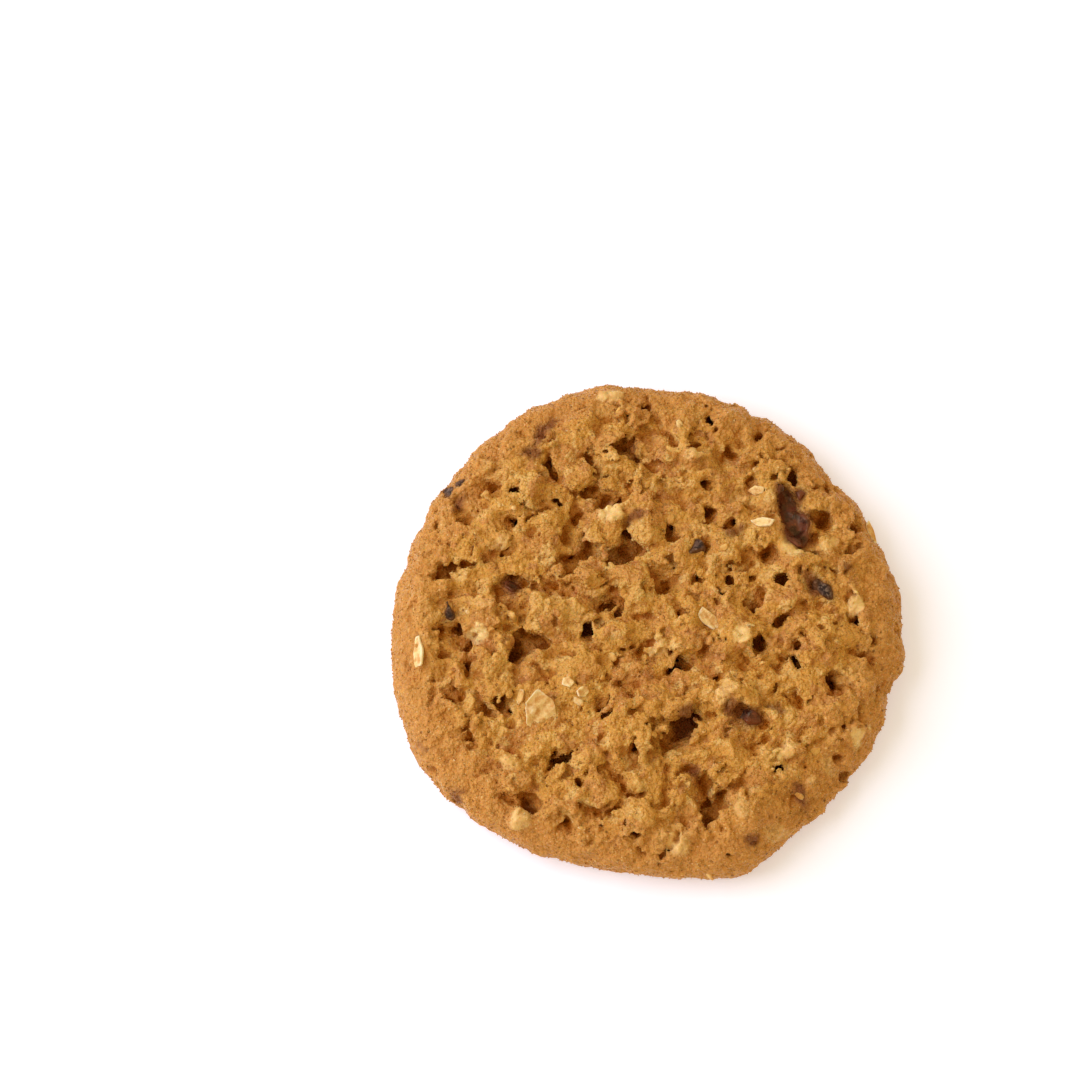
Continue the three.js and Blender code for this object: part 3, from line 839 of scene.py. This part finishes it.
def grain_shape():
    """Corners and faces of a regular solid with twenty sides."""
    golden = (1 + math.sqrt(5)) / 2
    corners = []
    for first in (-1, 1):
        for second in (-golden, golden):
            corners += [(0, first, second), (first, second, 0), (second, 0, first)]
    corners = np.array(corners)
    edge_limit = 2.1  # the edges are 2 long, and all other pairs of corners are further apart
    faces = []
    for a, b, c in itertools.combinations(range(len(corners)), 3):
        trio = corners[[a, b, c]]
        if np.linalg.norm(trio - np.roll(trio, 1, axis=0), axis=1).max() < edge_limit:
            outward = np.linalg.det(trio) > 0
            faces.append((a, b, c) if outward else (a, c, b))
    return corners / math.hypot(1, golden), np.array(faces)


def crumbs(dough, rng):
    corners, faces = grain_shape()
    points, normals = surface_draws(dough, CRUMBS, rng)
    size = roughness(points[:, :1], points[:, 1:2]) * smoothstep(*CRUMB_SLOPE, normals[:, 2:])
    radii = CRUMB_RADIUS[0] + (CRUMB_RADIUS[1] - CRUMB_RADIUS[0]) * size * rng.random((CRUMBS, 1)) ** 2
    dents = rng.uniform(*CRUMB_DENTS, (CRUMBS, len(corners), 1))
    dents = dents * rng.uniform(*CRUMB_STRETCH, (CRUMBS, 1, 3))
    middles = points - normals * radii * (CRUMB_SINK - CRUMB_LIFT * size)
    shapes = middles[:, None] + corners * dents * radii[:, None]
    return joined_piece("crumbs", shapes, faces, rng.random(CRUMBS))


def linear(colour):
    """A colour of the picture, from 0 to 255, as the amounts of light that it stands for."""
    parts = [part / 255 for part in colour]
    return tuple(part / 12.92 if part <= 0.04045 else ((part + 0.055) / 1.055) ** 2.4 for part in parts)


class Nodes:
    """Short ways to lay out the nodes of one material."""

    def __init__(self, name):
        self.material = bpy.data.materials.new(name)
        self.material.use_nodes = True
        self.tree = self.material.node_tree
        self.shader = self.tree.nodes["Principled BSDF"]
        self.place = self.new("TexCoord").outputs["Object"]
        self.base = None  # the base colour so far

    def fill(self, node, inputs):
        """Sets inputs of a node to numbers or colours of the picture, or links them to other sockets."""
        for name, value in inputs.items():
            if isinstance(value, (int, float)):
                node.inputs[name].default_value = value
            elif isinstance(value, tuple):
                node.inputs[name].default_value = (*linear(value), 1)
            else:
                self.tree.links.new(value, node.inputs[name])

    def new(self, kind, **inputs):
        node = self.tree.nodes.new("ShaderNode" + kind)
        self.fill(node, inputs)
        return node

    def texture(self, kind, size, **inputs):
        """A pattern whose features have the size given, in millimetres."""
        return self.new(kind, Scale=1 / (size * MM), Vector=self.place, **inputs).outputs

    def noise(self, size, detail=3.0, rough=0.55):
        return self.texture("TexNoise", size, Detail=detail, Roughness=rough)["Fac"]

    def dots(self, spacing, radius, share):
        """Spots of the radius given in a share of the cells of a loose pattern: 1 inside them."""
        cells = self.texture("TexVoronoi", spacing)
        inner, outer = (limit * radius / spacing for limit in DOT_EDGE)
        near = self.spread(cells["Distance"], inner, outer, 1.0, 0.0)
        parts = self.new("SeparateColor", Color=cells["Color"])
        chosen = self.spread(parts.outputs["Red"], 1 - share - DOT_CHOICE, 1 - share + DOT_CHOICE)
        return self.math("MULTIPLY", near, chosen)

    def grains(self, spacing):
        """Rounded grains packed together, as heights from 0 to 1."""
        return self.math("SUBTRACT", 1.0, self.texture("TexVoronoi", spacing)["Distance"])

    def attribute(self, name):
        node = self.new("Attribute")
        node.attribute_name = name
        return node.outputs["Fac"]

    def spread(self, value, low, high, start=0.0, stop=1.0):
        """The value brought from low and high to start and stop, smoothly and no further."""
        node = self.new("MapRange", Value=value)
        node.interpolation_type = "SMOOTHSTEP"
        self.fill(node, {"From Min": low, "From Max": high, "To Min": start, "To Max": stop})
        return node.outputs["Result"]

    def math(self, kind, one, other):
        node = self.new("Math")
        node.operation = kind
        self.fill(node, {0: one, 1: other})
        return node.outputs["Value"]

    def mix(self, share, one, other, kind="MIX"):
        """A mix of two colours, each a socket or a colour of the picture."""
        node = self.new("MixRGB", Fac=share, Color1=one, Color2=other)
        node.blend_type = kind
        return node.outputs["Color"]

    def paint(self, share, colour, kind="MIX"):
        """Mixes a share of a socket's colour, or of a colour of the picture, into the base colour."""
        self.base = self.mix(share, self.base, colour, kind)

    def bump(self, heights, strength, distance):
        node = self.new("Bump", Strength=strength, Distance=distance * MM, Height=heights)
        self.fill(self.shader, {"Normal": node.outputs["Normal"]})

    def soften(self, weight, reach, colours):
        self.fill(self.shader, {"Subsurface Weight": weight, "Subsurface Scale": reach * MM})
        self.shader.inputs["Subsurface Radius"].default_value = colours

    def gloss(self, rough, level):
        self.fill(self.shader, {"Roughness": rough, "Specular IOR Level": level})
        self.shader.inputs["Specular Tint"].default_value = GLOSS_TINT

    def finish(self):
        self.fill(self.shader, {"Base Color": self.base})
        return self.material


def dough_nodes(name):
    """The nodes of browned dough, with its colour before painted shade darkens its hollows."""
    nodes = Nodes(name)
    tone = nodes.attribute("tone")
    fleck = nodes.attribute("fleck")
    nodes.base = nodes.mix(nodes.spread(tone, 0.0, 0.7), (204, 142, 72), (211, 153, 69))
    nodes.paint(nodes.spread(nodes.noise(1.5, 2.0), 0.48, 0.68, 0.0, 0.7), (215, 160, 73))
    nodes.paint(nodes.spread(fleck, 0.08, 0.14, 0.5, 0.0), (184, 118, 70))
    nodes.paint(nodes.spread(fleck, 0.84, 0.92, 0.0, 0.65), (232, 190, 112))
    nodes.paint(nodes.spread(tone, 0.9, 0.95, 0.0, 0.6), (230, 182, 102))
    nodes.paint(nodes.attribute("rim"), (202, 139, 66))
    return nodes


def finish_dough(nodes):
    """Adds grain, specks, the painted shade of hollows and deep places, a painted highlight on crests and
    the roughness of dough to its colour; the pale specks are partly painted glints and the dark ones
    partly painted shade in pinholes.
    """
    grain = nodes.noise(0.45, 2.0, 0.6)
    nodes.paint(1.0, nodes.spread(grain, 0.3, 0.7, 0.88, 1.1), "MULTIPLY")
    # Pale specks, partly the dough's own colour and partly painted glints
    pale = nodes.math("MAXIMUM", nodes.dots(0.7, 0.13, 0.25), nodes.dots(0.4, 0.08, 0.2))
    nodes.paint(nodes.math("MULTIPLY", pale, 0.7), (238, 200, 134))
    # Dark specks, partly the dough's own colour and partly painted shade in tiny pinholes
    dark = nodes.math("MAXIMUM", nodes.dots(1.1, 0.17, 0.2), nodes.dots(0.6, 0.1, 0.12))
    nodes.paint(nodes.math("MULTIPLY", dark, 0.6), (112, 54, 18))
    # Painted highlight on raised crests, partly paler crumbs of their own
    nodes.paint(nodes.math("MULTIPLY", nodes.attribute("crest_paleness_and_highlight"), 0.2), (230, 180, 104))
    oat = nodes.attribute("oat")
    mottle = nodes.spread(nodes.noise(0.9, 2.0), 0.36, 0.6, 0.6, 0.95)
    nodes.paint(nodes.math("MULTIPLY", oat, mottle), (243, 214, 142))
    # Painted shade in hollows and deep places, then the real stain of toffee
    for name, colour in (("hollow_shade", (166, 88, 0)), ("depth", (84, 29, 0)), ("stain", (112, 54, 28))):
        nodes.paint(nodes.attribute(name), colour)
    nodes.gloss(nodes.spread(nodes.noise(0.4), 0.35, 0.65, 0.22, 0.75), 0.22)
    nodes.soften(0.4, 0.7, (1.0, 0.5, 0.2))
    rough = nodes.math("ADD", nodes.noise(0.4, 2.0), nodes.grains(0.55))
    rough = nodes.math("ADD", rough, nodes.math("MULTIPLY", nodes.grains(0.35), 0.4))
    nodes.bump(nodes.math("SUBTRACT", rough, dark), nodes.spread(oat, 0.0, 0.6, 1.0, 0.25), 0.34)
    return nodes.finish()


def dough_material():
    return finish_dough(dough_nodes("dough"))


def crumb_material():
    nodes = dough_nodes("crumbs")
    nodes.paint(0.35, nodes.mix(nodes.attribute("tint"), (172, 108, 48), (226, 174, 98)))
    return finish_dough(nodes)


def oat_material(name):
    nodes = Nodes(name)
    nodes.base = nodes.mix(nodes.attribute("tint"), (222, 168, 84), (244, 210, 142))
    nodes.paint(nodes.spread(nodes.noise(1.1, 4.0), 0.4, 0.65, 0.0, 0.8), (200, 136, 58))
    uneven_edge = nodes.math("ADD", nodes.attribute("edge"), nodes.math("MULTIPLY", nodes.noise(2.4), 2.5))
    nodes.paint(nodes.spread(uneven_edge, 1.75, 2.2, 0.0, 0.85), (247, 224, 174))
    nodes.gloss(nodes.spread(nodes.noise(0.6), 0.3, 0.7, 0.45, 0.75), 0.3)
    nodes.soften(0.25, 0.7, (1.0, 0.65, 0.35))
    nodes.bump(nodes.noise(0.5, 4.0), 1.0, 0.25)
    return nodes.finish()


def toffee_material():
    nodes = Nodes("toffee")
    nodes.base = nodes.mix(nodes.spread(nodes.noise(1.6), 0.38, 0.64), (56, 24, 13), (110, 57, 35))
    nodes.paint(nodes.spread(nodes.noise(0.4), 0.6, 0.74, 0.0, 0.5), (150, 84, 40))
    nodes.paint(nodes.math("MULTIPLY", nodes.attribute("edge"), 0.55), (126, 66, 34))
    nodes.gloss(nodes.spread(nodes.noise(0.8), 0.35, 0.65, 0.2, 0.6), 0.4)
    nodes.soften(0.25, 0.8, (1.0, 0.3, 0.1))
    nodes.bump(nodes.noise(0.6, 3.0), 0.5, 0.2)
    return nodes.finish()


def fruit_material():
    nodes = Nodes("fruit")
    nodes.base = nodes.mix(nodes.spread(nodes.noise(0.9), 0.4, 0.62), (46, 34, 30), (96, 72, 60))
    nodes.paint(nodes.spread(nodes.noise(0.35), 0.5, 0.66, 0.0, 0.7), (140, 116, 96))
    nodes.paint(nodes.math("MULTIPLY", nodes.attribute("edge"), 0.7), (104, 62, 26))
    nodes.gloss(nodes.spread(nodes.noise(0.7), 0.35, 0.65, 0.4, 0.8), 0.12)
    nodes.bump(nodes.noise(0.5, 4.0), 0.6, 0.2)
    return nodes.finish()


def floor_material():
    nodes = Nodes("floor")
    nodes.base = nodes.mix(nodes.spread(nodes.noise(40.0), 0.3, 0.7), (246, 244, 241), (247, 245, 242))
    nodes.gloss(0.9, 0.1)
    nodes.shader.inputs["Emission Color"].default_value = (*FLOOR_GLOW_COLOUR, 1)
    nodes.shader.inputs["Emission Strength"].default_value = FLOOR_GLOW
    return nodes.finish()


def dress(piece, material):
    """Gives a piece its material, and lets it ride on the biscuit."""
    piece.data.materials.append(material)
    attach(piece, "root")


def upper_side(points):
    """1 at points of the crown and the upper wall, and 0 at points of the foot and the underside."""
    return smoothstep(FOOT_HEIGHT, 2 * FOOT_HEIGHT, points[:, 2])


def mark_dough(pieces, field, soft, stains, layers, rng):
    """Stores for each point of some pieces how far into hollows it lies and how deep, raised, near the rim
    and stained it is, and the tones of its clumps;
    hollows and deep places get painted shade, and raised crests a painted highlight that is partly paler
    crumbs."""
    shell = np.clip(field / VOXEL, -1, 1)
    close = blurred(shell, CLOSE_BLUR)
    wide = blurred(shell, WIDE_BLUR)
    tones = [rng.random(clumps.total) for clumps in layers]
    for piece in pieces:
        points = piece_points(piece)
        for name, clumps, tone in zip(("tone", "fleck"), layers, tones):
            set_attribute(piece, name, tone[clumps.find(points)[0]])
        near = -sampled(close, points)
        far = -sampled(wide, points)
        # Painted shade: shares for close and wide hollows
        hollow_shade = CLOSE_SHADE_SHARE * smoothstep(*HOLLOW_SHADE_LIMITS, near)
        hollow_shade = hollow_shade + WIDE_SHADE_SHARE * smoothstep(*HOLLOW_SHADE_LIMITS, far)
        radius = np.hypot(points[:, 0], points[:, 1])
        ring = smoothstep(*STAIN_RING, sampled(soft, points))
        spot = smoothstep(*STAIN_EDGE, sampled(stains, points))
        set_attribute(piece, "hollow_shade", hollow_shade)
        # Painted highlight on crests, partly paler crumbs, and painted shade in deep places
        set_attribute(piece, "crest_paleness_and_highlight", smoothstep(*CREST_PALE_AND_HIGHLIGHT_LIMITS, -near))
        set_attribute(piece, "depth", DEPTH_SHADE_SHARE * smoothstep(*DEPTH_SHADE_LIMITS, far))
        set_attribute(piece, "rim", RIM_SHARE * smoothstep(*RIM_LIMITS, radius))
        set_attribute(piece, "stain", STAIN_SHARE * np.maximum(ring, spot) * upper_side(points))


def mark_oats(pieces, columns):
    """Stores how pale the oats baked into the dough make each point of some pieces of it."""
    paleness = np.array([oat[5] for oat in OATS])
    for piece in pieces:
        points = piece_points(piece)
        away = [np.hypot(points[:, 0] - x, points[:, 1] - y) for x, y, *_ in OATS]
        inside = smoothstep(*OAT_EDGE, sampled(columns, points)) * upper_side(points)
        set_attribute(piece, "oat", inside * paleness[np.argmin(away, axis=0)])


def add_soft_piece(name, field, columns, mesh, material):
    """Adds toffee or fruit, and stores how near each of its points is to the outlines of its bits."""
    piece = surface_piece(name, field, *mesh)
    set_attribute(piece, "edge", smoothstep(*BROWN_EDGE, sampled(columns, piece_points(piece))))
    dress(piece, material)


def dough_field(base, ground, ragged, soft_columns, flake_columns, rng):
    """The field of the dough with its relief and the beds of what lies in it, and its layers of clumps."""
    calm = np.clip(np.minimum(soft_columns, flake_columns) / CALM_REACH, 0, 1)
    share = roughness(LINES[0][:, None], LINES[1][None, :])[:, :, None].astype(np.float32) * calm
    smooth = blurred(base, BROAD_BLUR)
    dip = dips(base)
    field = base.copy()
    add_lumps(field, smooth, dip, share, rng)
    field = with_chasms(field, share, rng)
    cut_small_pits(field, ground, PIT_RAGGEDNESS * ragged, rng)
    cut_pores(field, smooth, PORE_RAGGEDNESS * ragged, rng)
    field += PIT_RAGGEDNESS * ragged * smoothstep(*RAGGED_DIPS, dip) * share
    add_oats(field, ground)
    shifts = wander(rng)
    layers = [Clumps(sizes[0], shifts, rng) for sizes in CLUMPS]
    granules = Clumps(GRANULES[0], shifts, rng)
    field = with_relief(warped(field, share, shifts), share, layers, granules, rng)
    field = np.maximum(field, np.minimum(base + BED_DEPTH, -soft_columns - SOFT_COVER))
    field = np.maximum(field, np.minimum(base + FLAKE_BED_DEPTH, -flake_columns - FLAKE_COVER))
    return field, layers


def build_biscuit():
    rng = np.random.default_rng(SEED)
    base = blurred(solid_field("biscuit"), FACET_BLUR)
    ground = Ground(base)
    ragged, bumps = uneven(rng), uneven(rng)
    toffee_columns = upright_columns(TOFFEE, TOFFEE_RAGGEDNESS * ragged)
    fruit_columns = upright_columns(FRUIT, FRUIT_RAGGEDNESS * ragged)
    flake_columns = upright_columns(FLAKES, 0)
    oat_columns = upright_columns(OATS, OAT_RAGGEDNESS * ragged)
    stains = upright_columns(STAINS, TOFFEE_RAGGEDNESS * ragged)
    toffee_field = soft_bits(toffee_columns, base, TOFFEE_RISE, bumps)
    fruit_field = soft_bits(fruit_columns, base, FRUIT_RISE, bumps)
    soft_columns = np.minimum(toffee_columns, fruit_columns)
    field, layers = dough_field(base, ground, ragged, soft_columns, flake_columns, rng)

    dough = surface_piece("dough", field, *DOUGH_MESH)
    grains = crumbs(dough, rng)
    soft_field = np.minimum(toffee_field, fruit_field + FRUIT_STAIN_INSET)
    mark_dough((dough, grains), field, soft_field, stains, layers, rng)
    mark_oats((dough, grains), oat_columns)
    dress(dough, dough_material())
    dress(grains, crumb_material())
    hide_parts("biscuit")
    add_soft_piece("toffee", toffee_field, toffee_columns, TOFFEE_MESH, toffee_material())
    add_soft_piece("fruit", fruit_field, fruit_columns, FRUIT_MESH, fruit_material())
    dress(oat_flakes(ground), oat_material("oat_flakes"))
    dress(oat_fragments(dough, rng), oat_material("oat_fragments"))


def add_floor():
    bpy.ops.mesh.primitive_plane_add(size=FLOOR_SIZE)
    floor = bpy.context.object
    floor.name = "floor"
    floor.data.materials.append(floor_material())


def add_camera():
    """A camera that looks down on the biscuit and has it where the photograph shows it."""
    distance = PHOTO_PIXELS * MM_PER_PIXEL * MM * LENS / SENSOR
    aside = (PHOTO_CENTRE[0] - PHOTO_PIXELS / 2) * MM_PER_PIXEL * MM
    below = (PHOTO_CENTRE[1] - PHOTO_PIXELS / 2) * MM_PER_PIXEL * MM
    tilt = math.radians(VIEW_ELEVATION) - math.atan(below / distance)
    back = Vector((0, -math.cos(tilt), math.sin(tilt)))
    up = Vector((0, math.sin(tilt), math.cos(tilt)))
    middle = (Vector(CAD_BOX[0]) + Vector(CAD_BOX[1])) / 2
    camera = add_object("camera", bpy.data.cameras.new("camera"))
    camera.data.lens = LENS
    camera.data.sensor_width = SENSOR
    camera.location = middle + back * distance - Vector((aside, 0, 0)) + up * below
    camera.rotation_euler = (math.radians(90) - tilt, 0, 0)
    bpy.context.scene.camera = camera


def add_lights():
    world = bpy.data.worlds.new("studio")
    bpy.context.scene.world = world
    world.use_nodes = True
    background = world.node_tree.nodes["Background"]
    background.inputs["Color"].default_value = (*SKY_COLOUR, 1)
    background.inputs["Strength"].default_value = SKY_STRENGTH
    key = add_object("key", bpy.data.lights.new("key", "AREA"))
    key.data.energy = KEY_POWER
    key.data.color = KEY_COLOUR
    key.data.size = KEY_SIZE
    key.location = KEY_PLACE
    key.rotation_euler = (-Vector(KEY_PLACE)).to_track_quat("-Z", "Y").to_euler()


build_biscuit()
add_floor()
add_camera()
add_lights()
bpy.context.scene.view_settings.view_transform = "Standard"
